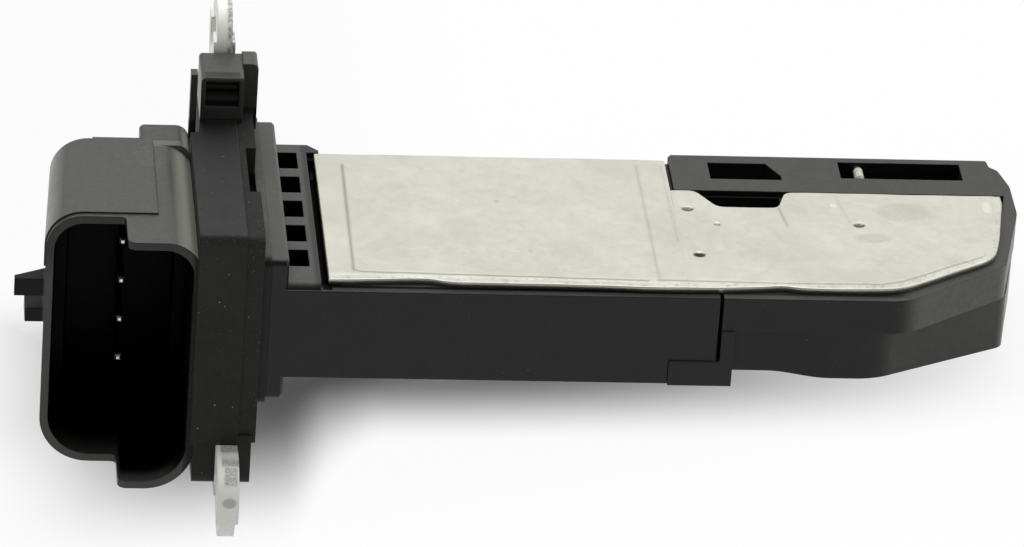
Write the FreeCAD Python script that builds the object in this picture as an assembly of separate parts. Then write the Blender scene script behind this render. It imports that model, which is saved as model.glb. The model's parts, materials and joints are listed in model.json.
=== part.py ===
import FreeCAD, Part
import math
import os

os.makedirs("parts", exist_ok=True)

# Plug-in mass airflow sensor: a flange with two diagonal screw ears, an electrical socket on
# one side of it, and on the other a flat blade that stands in the air duct.
# +X points from the flange to the blade's tip, +Z to the metal cover plate, and the socket's
# mouth faces -Y. The origin is midway between the two screw holes, on the ear face that lies
# on the duct. All sizes are in millimetres.

# Mounting plate with its two screw ears
screw_circle = 54.8
screw_angle = 40.0
screw_hole_radius = 2.25
ear_radius = 4.75
ear_thickness = 2.4
ear_tip_thickness = 1.7
ear_tip_length = 3.4
ear_neck_width = 5.0
ear_neck_flare = 0.7
ear_neck_reach = 18.0
ear_neck_drop = 12.95
core_near = 16.6
core_far = 15.2
core_height = 22.4
core_window_depth = 12.0
core_window_height = 8.0

# Flange
flange_near = 18.5
flange_far = 17.0
flange_height = 25.5
flange_drop = 0.75
flange_thickness = 5.2
flange_corner = 1.0
lip_thickness = 1.95
lip_inset = 0.3
lip_recess_depth = 10.4
lip_recess_width = 1.2
lip_recess_shift = 0.4
lip_recess_far = 3.5
lip_recess_drop = 4.8

# Lugs that carry the ears
upper_lug_near = 9.5
upper_lug_far = 16.1
upper_lug_top = 18.0
upper_lug_split = 0.7
upper_lug_step = 3.0
upper_lug_rise = 0.3
upper_lug_root = 10.2
lug_pocket_bottom = 14.4
upper_lug_start = -4.05
upper_lug_end = 2.45
lower_lug_far = -8.8
lower_lug_bottom = 17.8
lower_lug_start = -4.9
lower_lug_end = 1.5
lug_round = 0.5
lug_side_round = 0.7
lug_pocket_depth = 0.8
lug_pocket_margin = 0.5

# Plug that fills the duct's hole, and its seal
plug_near = 15.85
plug_far = 17.8
plug_height = 17.4
plug_thickness = 1.95
plug_corner = 0.8
plug_chamfer = 0.3
seal_width = 0.95
seal_section = 1.7
seal_stand_out = 0.5

# Blade
blade_near = 15.85
blade_far = 16.0
blade_bottom = 5.75
blade_wall_top = 5.0
blade_wall = 1.5
root_length = 3.65
root_far = 17.5
root_corner = 1.4
root_slant = 1.4
body_seam = 52.45
chamber_start = 12.0
chamber_end = 45.6
chamber_depth = 25.4
chamber_corner = 1.5
ledge_length = 4.2
ledge_drop = 2.6

# Pockets across the blade's root
pocket_count = 5
pocket_pitch = 5.8
pocket_depth = 3.85
pocket_length = 2.2
pocket_drop = 4.0
pocket_wall = 0.35
pocket_row_middle = 2.0

# Cover plate
sheet = 0.75
plate_gap = 0.85
plate_gap_depth = 2.1
plate_near_inset = 1.6
plate_far_inset = 0.4
plate_edge_slope = 0.4
plate_bend = (46.2, -14.75)
plate_shoulder = (72.7, -14.4)
plate_nose = (83.9, -6.5)
plate_tip = (86.45, 6.2)
rail_near = 8.3
rail_far = 16.8
rail_start = 49.5
rail_end_near = 86.9
rail_end_far = 85.9
rail_clearance = 0.1
plate_rail_gap = 0.45
notch_start = 52.0
notch_length = 10.1
notch_depth = 3.8
notch_start_flare = 2.0
notch_end_flare = 1.4
peg_radius = 0.55
peg_clearance = 0.1
peg_drop = 0.3
body_pegs = [(50.6, 3.7), (50.9, -7.1)]
housing_peg = (69.5, 0.6)
sealant_width = 0.9
sealant_depth = 0.6
sealant_inset = 1.4
sealant_end = 48.2

# Tip: bypass housing above, bypass cover below
tip_seam = 0.9
tip_plan = [(73.2, -15.85, 6.0), (85.3, -7.0, 2.5), (86.5, -1.5, 8.0), (88.1, 5.4, 5.0),
            (88.1, 12.0, 4.0), (87.2, 15.9, 0.8), (86.3, 16.8, 0.3)]
bulge_plan = [(59.6, -12.5, 8.0), (64.4, -14.05, 8.0), (70.4, -14.05, 8.0), (85.7, -6.1, 1.5),
              (86.6, -1.5, 8.0), (88.0, 5.4, 5.0), (88.0, 12.0, 4.0), (86.9, 16.0, 1.5)]
cover_near = 12.5
cover_start = 54.3
channel_roof = 3.3
channel_wall = 1.3
channel_floor = 1.3
tongue_start = 47.25
tongue_top = -2.9
tongue_stand_out = 0.15
tongue_thickness = 1.4
strip_width = 1.45
seam_groove_depth = 3.0
inlet_start = 66.5
inlet_length = 15.0
divider_x = 64.0
divider_end = -4.0
outlet_length = 5.0
outlet_width = 6.0
outlet_inset = 3.2
joint_clearance = 0.03

# Windows in the rail, and the well under the plate's notch
window_width = 3.9
first_window_near = 11.15
first_window_start = 53.9
first_window_length = 8.1
first_window_slant = 1.5
second_window_near = 11.85
second_window_start = 68.8
second_window_length = 13.9
well_start = 52.9
well_drop = 3.4
well_width = 3.3

# Socket for the wiring plug
socket_width = 15.8
socket_taper = 1.1
socket_height = 30.6
socket_middle_x = -12.55
socket_middle_z = -3.7
socket_top_corner = 4.0
socket_bottom_corner = 5.5
socket_mouth = -17.8
socket_step = 6.0
socket_step_x = -12.95
socket_step_round = 1.0
socket_step_inner_round = 0.6
socket_end = 6.4
socket_back = 3.0
socket_wall = 0.9
socket_ledge_inset = 1.3
socket_ledge_y = -1.3
pad_height = 0.2
pad_end_x = -9.4
pad_setback = 0.7
pad_low = 5.0
rear_block_start = -10.7
rear_block_end = 10.4
rear_block_bottom = -8.0
rear_block_corner = 1.5
rear_rib_start = -16.0
rear_rib_end = 7.6
rear_rib_drop = 0.25
fin_thickness = 0.75
fin_gap = 0.45
fin_height = 18.6
fin_near = 9.0
fin_depth = 1.5
slot_near = 6.5
slot_bottom_near = 12.0
slot_bottom_far = 6.5
catch_top = 3.75
catch_height = 2.1
catch_reach = 4.4
catch_depth = 3.1
catch_end_depth = 0.8
stop_top = 0.1
stop_height = 1.65
stop_reach = 3.15
stop_depth = 3.3
keyway_height = 2.9
keyway_z = 4.3
keyway_depth = 0.7

# Terminals
pin_count = 4
pin_pitch = 4.86
pin_side = 0.7
pin_middle_z = -2.66
pin_x = -12.78
pin_tip_y = -4.5
pin_turn_y = 4.4
pin_spread = 1.8
pin_jog_x = -3.9
pin_chamfer = 0.18

# Circuit inside the blade
pad_thickness = 0.2
board_ledge_gap = 0.2
board_end_gap = 0.6
board_side_gap = 1.9
board_thickness = 0.8
chip_side = 7.0
chip_height = 1.2
capacitor_size = (3.2, 1.6, 1.4)
capacitor_end_margin = 5.2
capacitor_side_margin = 3.4
ribbon_width = 0.9
ribbon_thickness = 0.2
ribbon_foot = 0.9
carrier_width = 5.0
carrier_thickness = 0.6
carrier_lap = 4.0
carrier_reach = 5.0
carrier_y = -1.5
carrier_z = 1.6
carrier_ribbons = 3
carrier_ribbon_pitch = 1.5
carrier_ribbon_inset = 0.3
carrier_ribbon_length = 3.7
sensing_chip_side = 2.4
sensing_chip_height = 0.4

# Air temperature thermistor across the second window
bead_radius = 0.55
bead_length = 2.4
lead_radius = 0.2
lead_z = 5.1
thermistor_x = 71.1
track_width = 0.8
track_thickness = 0.4
track_lap = 3.0
track_pitch = 1.4
track_y = 9.0
track_cross_x = 66.4
track_far_y = 16.2

# Places worked out from the sizes above
lip_face = lip_thickness
seal_end = lip_face + seal_width
plug_end = seal_end + plug_thickness
root_end = plug_end + root_length
plate_start = root_end + plate_gap
plate_top = blade_wall_top + sheet
plate_near = -blade_near + plate_near_inset
plate_far = blade_far - plate_far_inset
ear_y = screw_circle / 2 * math.cos(math.radians(screw_angle))
ear_z = screw_circle / 2 * math.sin(math.radians(screw_angle))
chamber_floor = -blade_bottom + blade_wall
terminal_z = blade_wall_top - ledge_drop + pin_side / 2
terminal_end = chamber_start + ledge_length - 1.4
board_start = chamber_start + ledge_length + board_ledge_gap
board_end = chamber_end - board_end_gap
board_side = chamber_depth / 2 - board_side_gap
board_top = blade_wall_top - pad_thickness
board_bottom = board_top - board_thickness
track_z = board_bottom - track_thickness
carrier_start = board_end - carrier_lap
carrier_end = cover_start + channel_wall + carrier_reach
socket_left = socket_middle_x - socket_width / 2
socket_right = socket_middle_x + socket_width / 2
socket_top = socket_middle_z + socket_height / 2
socket_left_mouth = socket_mouth + socket_step
window_far = second_window_near + window_width
window_middle = second_window_near + window_width / 2
cut_past = 1.0


def vec(x, y, z):
    return FreeCAD.Vector(x, y, z)


def box(x0, x1, y0, y1, z0, z1):
    """A block between two corners."""
    return Part.makeBox(x1 - x0, y1 - y0, z1 - z0, vec(x0, y0, z0))


def place(axis, u, v, w):
    """A point of the plane across an axis: (y, z) for x, (x, z) for y, (x, y) for z."""
    return {"x": vec(w, u, v), "y": vec(u, w, v), "z": vec(u, v, w)}[axis]


def outline(axis, corners, w):
    """A closed wire through corners (u, v, radius), each rounded by a tangent arc."""
    points = [place(axis, u, v, w) for u, v, _ in corners]
    starts = []
    for i, (_, _, radius) in enumerate(corners):
        here = points[i]
        back = (points[i - 1] - here).normalize()
        ahead = (points[(i + 1) % len(points)] - here).normalize()
        if radius <= 0:
            starts.append((here, None, here))
            continue
        half = back.getAngle(ahead) / 2
        reach = radius / math.tan(half)
        bisector = (back + ahead).normalize()
        middle = here + bisector * (radius / math.sin(half) - radius)
        starts.append((here + back * reach, middle, here + ahead * reach))
    edges = []
    for i, (first, middle, last) in enumerate(starts):
        if middle is not None:
            edges.append(Part.Arc(first, middle, last).toShape())
        following = starts[(i + 1) % len(starts)][0]
        if last.distanceToPoint(following) > 1e-6:
            edges.append(Part.LineSegment(last, following).toShape())
    return Part.Wire(edges)


def prism(axis, corners, low, high):
    """A rounded outline carried along an axis from low to high."""
    face = Part.Face(outline(axis, corners, low))
    return face.extrude(place(axis, 0, 0, high - low))


def rounded(u0, u1, v0, v1, radius):
    """The corners of a rectangle, all with one radius."""
    return [(u0, v0, radius), (u1, v0, radius), (u1, v1, radius), (u0, v1, radius)]


def fuse(*shapes):
    """One clean solid of several that overlap or touch."""
    return shapes[0].multiFuse(list(shapes[1:])).removeSplitter()


def half_turn(shape):
    """The same shape turned half round about the blade's axis."""
    turned = shape.copy()
    turned.rotate(vec(0, 0, 0), vec(1, 0, 0), 180)
    return turned


def ear():
    """Upper screw ear: a disc round the hole, a neck down into the flange, and a thinned end."""
    disc = Part.makeCylinder(ear_radius, ear_thickness, vec(-ear_thickness, ear_y, ear_z), vec(1, 0, 0))
    root = core_height / 2 - cut_past
    outer = core_far + ear_neck_flare
    low = ear_z - ear_radius * 0.95
    neck = prism("x", [(outer - ear_neck_width, root, 0), (outer, root, 0),
                       (ear_neck_reach, ear_neck_drop, 0), (ear_y - ear_radius * 0.1, low, 0),
                       (ear_y, ear_z, 0), (ear_y - ear_radius * 0.95, ear_z, 0)], -ear_thickness, 0)
    blank = fuse(disc, neck)
    start = ear_z + ear_radius - ear_tip_length
    thinning = (ear_thickness - ear_tip_thickness) / 2
    for low in (-ear_thickness + thinning - 2 * cut_past, -thinning):
        high = low + 2 * cut_past
        blank = blank.cut(box(low, high, 0, ear_y + 2 * ear_radius, start, start + 2 * ear_radius))
    return blank


def mounting_plate():
    """Stamped steel plate: a core moulded into the flange, and two diagonal screw ears."""
    half = core_height / 2
    core = box(-ear_thickness, 0, -core_near, core_far, -half, half)
    middle = pin_turn_y - (pin_count - 1) / 2 * pin_spread
    reach_y = core_window_depth / 2
    reach_z = core_window_height / 2
    window = box(-ear_thickness - cut_past, cut_past, middle - reach_y, middle + reach_y,
                 terminal_z - reach_z, terminal_z + reach_z)
    plate = fuse(core, ear(), half_turn(ear())).cut(window)
    for side in (1, -1):
        plate = plate.cut(Part.makeCylinder(screw_hole_radius, ear_thickness + 2 * cut_past,
                                            vec(-ear_thickness - cut_past, side * ear_y, side * ear_z),
                                            vec(1, 0, 0)))
    return plate


def flange():
    """Flange block with its raised lip, and the two lugs round the ears."""
    half = flange_height / 2
    low = -half - flange_drop
    slab = prism("x", rounded(-flange_near, flange_far, low, half, flange_corner), -flange_thickness, 0)
    lip = prism("x", rounded(-flange_near + lip_inset, flange_far - lip_inset, low + lip_inset,
                             half - lip_inset, flange_corner), 0, lip_face)
    middle = lip_thickness / 2 + lip_recess_shift
    recess = box(middle - lip_recess_width / 2, middle + lip_recess_width / 2,
                 lip_recess_far - lip_recess_depth, lip_recess_far, half - lip_recess_drop, half + cut_past)
    slab = slab.cut(fin_slot())
    return fuse(slab, lip.cut(recess), upper_lug(), lower_lug())


def upper_lug():
    """Lug on the far upper side, with a shallow pocket in its near face and a lower step beside it."""
    root = flange_height / 2 - cut_past
    near = upper_lug_near
    left = prism("x", [(near, root, 0), (upper_lug_far, root, 0), (upper_lug_far, upper_lug_top, lug_round),
                       (near, upper_lug_top, lug_round / 2)], upper_lug_start, upper_lug_split)
    left = left.common(prism("y", [(upper_lug_start, root, 0), (upper_lug_split, root, 0),
                                   (upper_lug_split, upper_lug_top, 0),
                                   (upper_lug_start, upper_lug_top, lug_side_round)], near, upper_lug_far))
    step = near + upper_lug_step
    top = upper_lug_top + upper_lug_rise
    right = prism("x", [(step, upper_lug_root, 0), (upper_lug_far, upper_lug_root, 0),
                        (upper_lug_far, top, lug_round),
                        (step, top, 0)], upper_lug_split, upper_lug_end)
    right = right.common(prism("y", [(upper_lug_split, upper_lug_root, 0), (upper_lug_end, upper_lug_root, 0),
                                     (upper_lug_end, top, lug_side_round), (upper_lug_split, top, 0)],
                               step, upper_lug_far))
    pocket = box(upper_lug_start + lug_pocket_margin, upper_lug_split - lug_pocket_margin,
                 near - cut_past, near + lug_pocket_depth, lug_pocket_bottom, upper_lug_top - 0.4)
    return fuse(left.cut(pocket), right)


def lower_lug():
    """Lug on the near lower side, flush with the flange's near face."""
    near = -flange_near
    root = -flange_height / 2 + cut_past
    return prism("x", [(near, root, 0), (near, -lower_lug_bottom, lug_round),
                       (lower_lug_far, -lower_lug_bottom, 0.6), (lower_lug_far, root, 0)],
                 lower_lug_start, lower_lug_end)


def seal_seat(reach):
    """Section of the seal's outer face, drawn in by a reach."""
    half = plug_height / 2 + seal_stand_out - reach
    return rounded(-plug_near - seal_stand_out + reach, plug_far + seal_stand_out - reach, -half, half,
                   plug_corner + seal_stand_out - reach)


def plug():
    """Neck under the seal and the plug that fills the duct's hole."""
    neck = prism("x", seal_seat(seal_section), 0, seal_end + cut_past)
    half = plug_height / 2
    body = prism("x", rounded(-plug_near, plug_far, -half, half, plug_corner), seal_end, plug_end)
    lead_in = [edge for edge in body.Edges if edge.BoundBox.XMin > plug_end - 1e-4]
    return fuse(neck, body.makeChamfer(plug_chamfer, lead_in))


def blade_trough():
    """Blade as far as the seam: a trough for the circuit, with a row of pockets across its root."""
    start = plug_end - cut_past
    trough = box(start, body_seam, -blade_near, blade_far, -blade_bottom, blade_wall_top)
    slant = root_end + root_slant
    side = plate_far + joint_clearance
    root = prism("z", [(start, -blade_near, 0), (root_end, -blade_near, 0), (root_end, side, 0),
                       (slant, side, 0), (slant, blade_far + 0.2, 0), (root_end + 0.2, root_far, 0),
                       (start, root_far, 0)], -blade_bottom, plate_top)
    edge = -blade_near + 1e-4
    near = [e for e in root.Edges if e.BoundBox.ZMin > plate_top - 1e-4 and e.BoundBox.YMax < edge]
    trough = fuse(trough, root.makeFillet(root_corner, near))
    trough = trough.cut(box(root_end, plate_start, -blade_near + blade_wall, blade_far - blade_wall / 2,
                            plate_top - plate_gap_depth, plate_top + cut_past))
    first = pocket_row_middle - (pocket_count - 1) / 2 * pocket_pitch
    left = plug_end + pocket_wall
    for i in range(pocket_count):
        middle = first + i * pocket_pitch
        trough = trough.cut(box(left, left + pocket_length, middle - pocket_depth / 2,
                                middle + pocket_depth / 2, plate_top - pocket_drop, plate_top + cut_past))
    half = chamber_depth / 2
    chamber = prism("z", rounded(chamber_start, chamber_end, -half, half, chamber_corner),
                    chamber_floor, blade_wall_top + cut_past)
    ledge = box(chamber_start - cut_past, chamber_start + ledge_length, -half - cut_past,
                half + cut_past, chamber_floor - cut_past, blade_wall_top - ledge_drop)
    return trough.cut(chamber.cut(ledge))


def socket_section(inset, y):
    """The socket's rounded section at one depth, drawn in by an inset; its outer side tapers inward."""
    low = socket_middle_z - socket_height / 2 + inset
    high = socket_top - inset
    left = socket_left + inset - socket_taper * (socket_end - y) / (socket_end - socket_left_mouth)
    right = socket_right - inset
    top = socket_top_corner - inset * 0.8
    bottom = socket_bottom_corner - inset * 0.8
    corners = [(left, low, bottom), (right, low, bottom), (right, high, top), (left, high, top)]
    return outline("y", corners, y)


def socket_span(inset, y0, y1):
    """The tapering socket section carried from one depth to another."""
    return Part.makeLoft([socket_section(inset, y0), socket_section(inset, y1)], True, True)


def socket_step_cut():
    """What is taken off the socket's mouth so that its outer half stands back, with rounded corners."""
    left = socket_left - 2 * catch_reach
    right = socket_right + cut_past
    low = socket_mouth - cut_past
    corners = [(right, low, 0), (right, socket_mouth, 0), (socket_step_x, socket_mouth, socket_step_round),
               (socket_step_x, socket_left_mouth, socket_step_inner_round), (left, socket_left_mouth, 0),
               (left, low, 0)]
    return prism("z", corners, -socket_height, socket_height)


def socket():
    """Socket for the wiring plug, with its ledge, keyway and catches, and the block behind it."""
    outer = socket_span(0, socket_mouth, socket_end)
    pad = socket_span(-pad_height, socket_left_mouth + pad_setback, socket_end)
    pad = pad.common(box(socket_left - 2 * cut_past, pad_end_x, socket_mouth, socket_end, pad_low,
                         socket_top + cut_past))
    right = -flange_thickness
    block = prism("y", [(rear_block_start, rear_block_bottom, 0), (right, rear_block_bottom, 0),
                        (right, socket_top, rear_block_corner), (rear_block_start, socket_top, 0.6)],
                  socket_end - cut_past, rear_block_end)
    rib = box(rear_rib_start, rear_block_start + cut_past, socket_end - cut_past, rear_rib_end,
              rear_block_bottom, socket_top - rear_rib_drop)
    shell = fuse(outer, pad, block, rib, catches())
    shell = shell.cut(socket_step_cut())
    shell = shell.cut(socket_span(socket_wall, socket_mouth - cut_past, socket_ledge_y))
    inner = socket_wall + socket_ledge_inset
    shell = shell.cut(socket_span(inner, socket_ledge_y - cut_past, socket_back))
    keyway = box(socket_right - socket_wall - cut_past, socket_right - socket_wall + keyway_depth,
                 socket_mouth + 1.5, socket_ledge_y, keyway_z, keyway_z + keyway_height)
    return shell.cut(keyway)


def catches():
    """A wedge that catches the plug's latch and a stop beneath it, on the socket's outer side."""
    near = socket_left_mouth
    root = socket_left + socket_wall - 0.2
    wedge = prism("z", [(root, near, 0), (socket_left - catch_reach, near, 0),
                        (socket_left - catch_reach, near + catch_end_depth, 0),
                        (socket_left, near + catch_depth, 0), (root, near + catch_depth, 0)],
                  catch_top - catch_height, catch_top)
    stop = box(socket_left - stop_reach, root, near, near + stop_depth, stop_top - stop_height, stop_top)
    return fuse(wedge, stop, box(socket_left - cut_past / 2, root, near, near + stop_depth,
                                 stop_top - stop_height, catch_top))


def fin_slot():
    """What is taken off the flange's far upper edge so that the fin stands free of the lug."""
    left = -flange_thickness - cut_past
    far = flange_far + cut_past
    high = flange_height / 2 + cut_past
    return prism("x", [(slot_near, slot_bottom_near, 0), (far, slot_bottom_far, 0), (far, high, 0),
                       (slot_near, high, 0)], left, upper_lug_start)


def fin():
    """Thin guard rib that stands beside the upper lug, with a narrow slot between."""
    right = upper_lug_start - fin_gap
    return box(right - fin_thickness, right, fin_near, fin_near + fin_depth, 0, fin_height)


def pegs(places, low):
    """Moulded pegs that locate the cover plate."""
    return [Part.makeCylinder(peg_radius, plate_top - peg_drop - low, vec(x, y, low)) for x, y in places]


def sealant_ring(spare):
    """Bead under the cover plate all round the circuit chamber, or with spare room the groove for it."""
    left = plate_start + sealant_inset
    near = -blade_near + sealant_inset
    far = blade_far - sealant_inset
    s = spare
    w = sealant_width + spare
    low = blade_wall_top - sealant_depth
    high = blade_wall_top + (cut_past if spare else 0)
    outer = box(left - s, sealant_end + s, near - s, far + s, low, high)
    inner = box(left + w, sealant_end - w, near + w, far - w, low - cut_past, high + cut_past)
    return outer.cut(inner)


def terminal_y(i):
    """Where a terminal lies across the blade."""
    return pin_turn_y - i * pin_spread


def terminal(i):
    """Bent square terminal: pin in the socket, run to the flange, jog, and end on the chamber's ledge."""
    half = pin_side / 2
    z = pin_middle_z + ((pin_count - 1) / 2 - i) * pin_pitch
    y = terminal_y(i)
    pin = box(pin_x - half, pin_x + half, pin_tip_y, pin_turn_y + half, z - half, z + half)
    tip = [edge for edge in pin.Edges if edge.BoundBox.YMax < pin_tip_y + 1e-4]
    pin = pin.makeChamfer(pin_chamfer, tip)
    run = box(pin_x - half, pin_jog_x + half, pin_turn_y - half, pin_turn_y + half, z - half, z + half)
    across = box(pin_jog_x - half, pin_jog_x + half, y - half, pin_turn_y + half, z - half, z + half)
    upright = box(pin_jog_x - half, pin_jog_x + half, y - half, y + half,
                  min(z, terminal_z) - half, max(z, terminal_z) + half)
    end = box(pin_jog_x - half, terminal_end, y - half, y + half, terminal_z - half, terminal_z + half)
    return fuse(pin, run, across, upright, end)


def ribbon(x0, x1, y, low, high):
    """Bonded ribbon: a foot on each side and a slope between, from height low to height high."""
    t = ribbon_thickness
    corners = [(x0, low, 0), (x0 + ribbon_foot, low, 0), (x1 - ribbon_foot, high - t, 0), (x1, high - t, 0),
               (x1, high, 0), (x1 - ribbon_foot - t, high, 0), (x0 + ribbon_foot - t, low + t, 0),
               (x0, low + t, 0)]
    return prism("y", corners, y - ribbon_width / 2, y + ribbon_width / 2)


def terminal_ribbon(i):
    """Ribbon from a terminal's end up to the board's underside."""
    return ribbon(terminal_end - ribbon_foot - 0.2, board_start + ribbon_foot + 0.4, terminal_y(i),
                  terminal_z + pin_side / 2, board_bottom)


def carrier_ribbon(i):
    """Ribbon from the sensor carrier up to the board's underside."""
    y = carrier_y + (i - (carrier_ribbons - 1) / 2) * carrier_ribbon_pitch
    first = carrier_start + carrier_ribbon_inset
    return ribbon(first, first + carrier_ribbon_length, y, carrier_z + carrier_thickness, board_bottom)


def carrier():
    """Strip that holds the sensing chip in the air channel."""
    return box(carrier_start, carrier_end, carrier_y - carrier_width / 2, carrier_y + carrier_width / 2,
               carrier_z, carrier_z + carrier_thickness)


def carrier_slot():
    """Room for the carrier where it passes through a wall."""
    c = joint_clearance
    return box(chamber_end - cut_past, carrier_end + c, carrier_y - carrier_width / 2 - c,
               carrier_y + carrier_width / 2 + c, carrier_z - c, carrier_z + carrier_thickness + c)


def thermistor_terminal(i):
    """Stamped strip from the chamber to the second window: one ends on its near wall, one on its far."""
    half = track_width / 2
    y = track_y + i * track_pitch
    low = track_z
    high = low + track_thickness
    end = thermistor_x + half
    left = end - track_width
    top = lead_z + lead_radius
    if i == 0:
        edge = second_window_near
        return fuse(box(board_end - track_lap, end, y - half, y + half, low, high),
                    box(left, end, y - half, edge, low, high),
                    box(left, end, edge - track_thickness, edge, low, top))
    return fuse(box(board_end - track_lap, track_cross_x + half, y - half, y + half, low, high),
                box(track_cross_x - half, track_cross_x + half, y - half, track_far_y + half, low, high),
                box(track_cross_x - half, end, track_far_y - half, track_far_y + half, low, high),
                box(left, end, window_far, track_far_y + half, low, high),
                box(left, end, window_far, window_far + track_thickness, low, top))


def thermistor_lead(i):
    """Wire from a strip's end in the window's wall to the bead."""
    spans = ((second_window_near, window_middle - bead_length / 2),
             (window_middle + bead_length / 2, window_far))
    low, high = spans[i]
    return Part.makeCylinder(lead_radius, high - low, vec(thermistor_x, low, lead_z), vec(0, 1, 0))


def thermistor_bead():
    """Glass body held between the two leads, across the second window."""
    bead = Part.makeCylinder(bead_radius, bead_length,
                             vec(thermistor_x, window_middle - bead_length / 2, lead_z), vec(0, 1, 0))
    return bead.makeChamfer(bead_radius * 0.4, [e for e in bead.Edges if e.BoundBox.YLength < 1e-4])


def windows(low, high):
    """The two long openings in the rail, the first with one slanted corner."""
    start = first_window_start
    end = start + first_window_length
    near = first_window_near
    far = near + window_width
    first = [(start, near, 0), (end, near, 0), (end, near + window_width / 4, 0),
             (end - first_window_slant, far, 0), (start, far, 0)]
    start = second_window_start
    end = start + second_window_length
    second = rounded(start, end, second_window_near, window_far, 0)
    return [prism("z", corners, low, high) for corners in (first, second)]


def tip_outline():
    """Plan of the upper tip from the seam round the nose and back."""
    start = body_seam + joint_clearance
    return [(start, -blade_near, 0)] + tip_plan + [(start, rail_far, 0)]


def cover_outline():
    """Plan of the lower tip from the tongue round the swelling wall and the nose."""
    return [(cover_start, -cover_near, 0)] + bulge_plan + [(cover_start, blade_far, 0)]


def channel_void(low, high):
    """Air channel: two lanes side by side, joined round the end of the dividing wall."""
    plan = Part.Face(outline("z", cover_outline(), low))
    inside = plan.makeOffset2D(-channel_wall).extrude(vec(0, 0, high - low))
    half = channel_wall / 2
    corners = [(divider_x - half, divider_end, half * 0.9), (divider_x + half, divider_end, half * 0.9),
               (divider_x + half, rail_far, 0), (divider_x - half, rail_far, 0)]
    return inside.cut(prism("z", corners, low - cut_past, high + cut_past))


def notch_well():
    """Well under the plate's notch, open to the air channel at its end."""
    far = rail_near - rail_clearance
    end = notch_start + notch_length - notch_end_flare / 2
    return box(well_start, end, far - well_width, far, blade_wall_top - well_drop, plate_top)


def seam_groove():
    """Narrow open joint between the sensor body and the tip, on the near side."""
    return box(body_seam, cover_start - strip_width, -blade_near - cut_past,
               -blade_near + seam_groove_depth, tip_seam - cut_past, plate_top + cut_past)


def bypass_housing():
    """Upper half of the tip: roof of the air channel, and the rail with its two windows."""
    block = prism("z", tip_outline(), tip_seam, blade_wall_top)
    rail = prism("z", [(rail_start, rail_near, 0), (rail_end_near, rail_near, 0),
                       (rail_end_far, rail_far, 0.3), (rail_start + 0.4, rail_far, 0),
                       (rail_start, rail_far - 0.6, 0)], blade_wall_top, plate_top)
    house = fuse(block, rail).cut(seam_groove())
    house = house.cut(channel_void(tip_seam - cut_past, channel_roof)).cut(notch_well())
    for window in windows(tip_seam - cut_past, plate_top + cut_past):
        house = house.cut(window)
    house = fuse(house, *pegs([housing_peg], blade_wall_top - cut_past))
    for i in range(2):
        house = house.cut(thermistor_terminal(i))
    return house.cut(carrier_slot())


def bypass_cover():
    """Lower half of the tip: floor and curved wall of the air channel, with its inlet and outlet."""
    edge = body_seam + joint_clearance
    shell = prism("z", cover_outline(), -blade_bottom, tip_seam)
    foot = box(edge, cover_start + cut_past, -cover_near, blade_far, -blade_bottom, tip_seam)
    shell = fuse(shell, foot)
    floor = -blade_bottom + channel_floor
    shell = shell.cut(channel_void(floor, tip_seam + cut_past))
    inlet = box(inlet_start, inlet_start + inlet_length, blade_far - channel_wall - 2 * cut_past,
                blade_far + cut_past, floor, tip_seam + cut_past)
    lane_middle = (cover_start + channel_wall + divider_x - channel_wall / 2) / 2
    outlet_far = blade_far - outlet_inset
    outlet = prism("z", rounded(lane_middle - outlet_length / 2, lane_middle + outlet_length / 2,
                                outlet_far - outlet_width, outlet_far, 0.8),
                   -blade_bottom - cut_past, floor + cut_past)
    shell = shell.cut(inlet).cut(outlet)
    near = -blade_near - tongue_stand_out
    low = -blade_bottom - tongue_stand_out
    tongue = box(tongue_start, cover_start, near, near + tongue_thickness, low, tongue_top)
    web = box(edge, cover_start, near + tongue_stand_out, -cover_near + cut_past, -blade_bottom, tongue_top)
    strip = box(cover_start - strip_width, cover_start, near, near + tongue_thickness, low, tip_seam)
    back = box(cover_start - strip_width, cover_start, near + tongue_stand_out, -cover_near + cut_past,
               -blade_bottom, tip_seam)
    return fuse(shell, tongue, web, strip, back)


def tongue_rebate():
    """Room in the sensor body for the cover's tongue."""
    c = joint_clearance
    near = -blade_near - tongue_stand_out
    return box(tongue_start - c, body_seam + cut_past, near - cut_past, near + tongue_thickness + c,
               -blade_bottom - cut_past, tongue_top + c)


def plate_corners():
    """Plan of the cover plate, with its notch beside the rail."""
    inner = rail_near - rail_clearance
    notch_end = notch_start + notch_length
    left = rail_start - plate_rail_gap
    bottom = inner - notch_depth
    return [(plate_start, plate_near, 0), (*plate_bend, 0), (*plate_shoulder, 3.0), (*plate_nose, 1.0),
            (*plate_tip, 4.0), (plate_tip[0], inner, 0.5), (notch_end, inner, 0),
            (notch_end - notch_end_flare, bottom, 0.6), (notch_start + notch_start_flare, bottom, 0.6),
            (notch_start, inner, 0), (left, inner, 0), (left, plate_far, 0), (plate_start, plate_far, 0)]


def cover_plate():
    """Pressed metal plate that closes the circuit chamber and carries the board."""
    plate = prism("z", plate_corners(), blade_wall_top, plate_top)
    reach = plate_nose[1] + 1e-3
    rim = [e for e in plate.Edges if e.BoundBox.ZMin > plate_top - 1e-4 and e.BoundBox.YMax < reach]
    plate = plate.makeChamfer(plate_edge_slope, rim)
    for x, y in body_pegs + [housing_peg]:
        plate = plate.cut(Part.makeCylinder(peg_radius + peg_clearance, sheet + 2 * cut_past,
                                            vec(x, y, blade_wall_top - cut_past)))
    return plate


def seal_ring():
    """Rubber ring in the groove between the flange's lip and the plug."""
    ring = prism("x", seal_seat(0), lip_face, seal_end)
    return ring.cut(prism("x", seal_seat(seal_section), lip_face - cut_past, seal_end + cut_past))


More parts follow.
